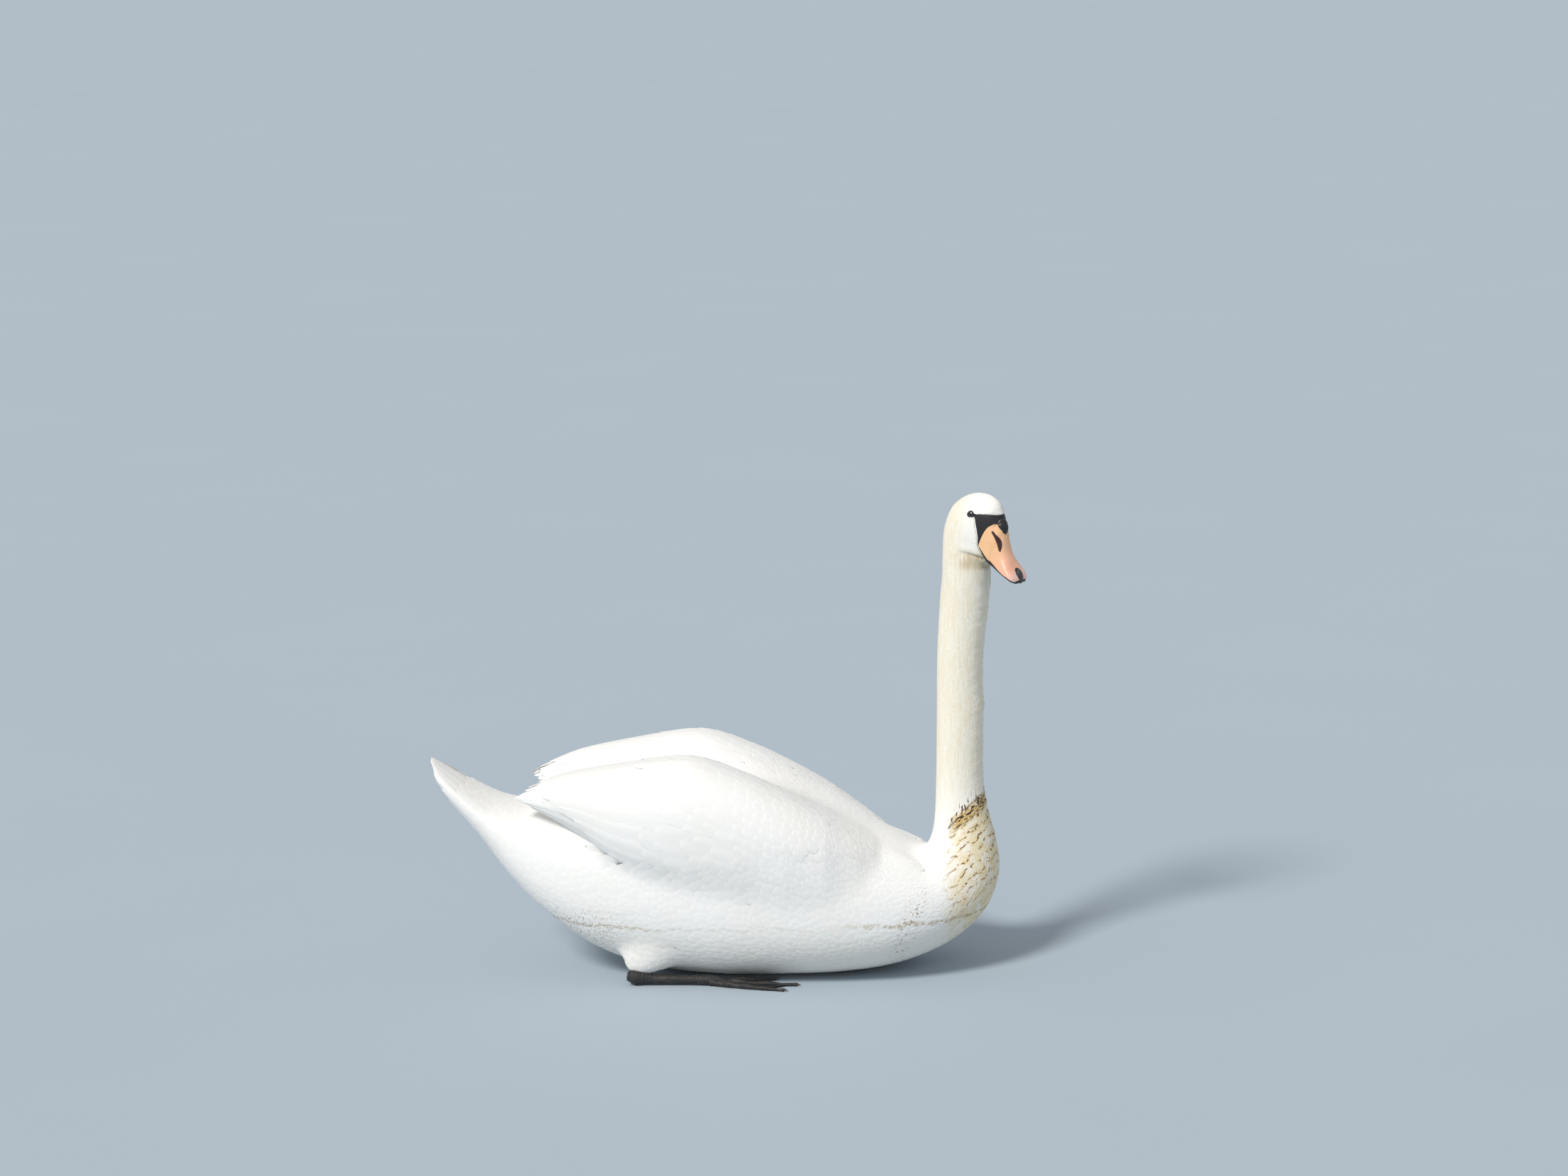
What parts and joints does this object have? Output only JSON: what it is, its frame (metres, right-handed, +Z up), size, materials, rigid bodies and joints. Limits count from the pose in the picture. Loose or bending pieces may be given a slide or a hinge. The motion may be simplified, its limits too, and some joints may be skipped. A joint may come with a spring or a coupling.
{
  "type": "mute swan",
  "caption": "Life-size still model of a resting mute swan, neck upright, head turned aside, wings folded, sitting on its belly.",
  "frame": {"origin": "centre of the bird's bounding box, on the floor under its belly", "axes": "+X the way the breast faces, +Y the bird's left, +Z up"},
  "size_m": [0.8832, 0.3312, 0.7061],
  "materials": {
    "white_feathers": "smooth overlapping white feathers, soft satin",
    "cream_feathers": "fine cream-tinged feathers, matt",
    "peach_horn": "peach to pink horn and skin of the bill, semi-matt",
    "black_skin": "black skin of the knob, jaw, legs and feet, semi-matt",
    "slate_horn": "dark grey horn nail, slightly glossy",
    "eye_black": "wet glossy near-black eye"
  },
  "bodies": {
    "root": {"trunk": "white_feathers", "tail": "white_feathers", "neck": "cream_feathers", "head": "cream_feathers", "wing_left": "white_feathers", "wing_right": "white_feathers", "primaries_left": "white_feathers", "primaries_right": "white_feathers", "bill_upper": "peach_horn", "bill_lower": "black_skin", "bill_knob": "black_skin", "bill_nail": "slate_horn", "eye_left": "eye_black", "eye_right": "eye_black", "leg_left": "black_skin", "leg_right": "black_skin", "foot_left": "black_skin", "foot_right": "black_skin"}
  },
  "joints": []
}
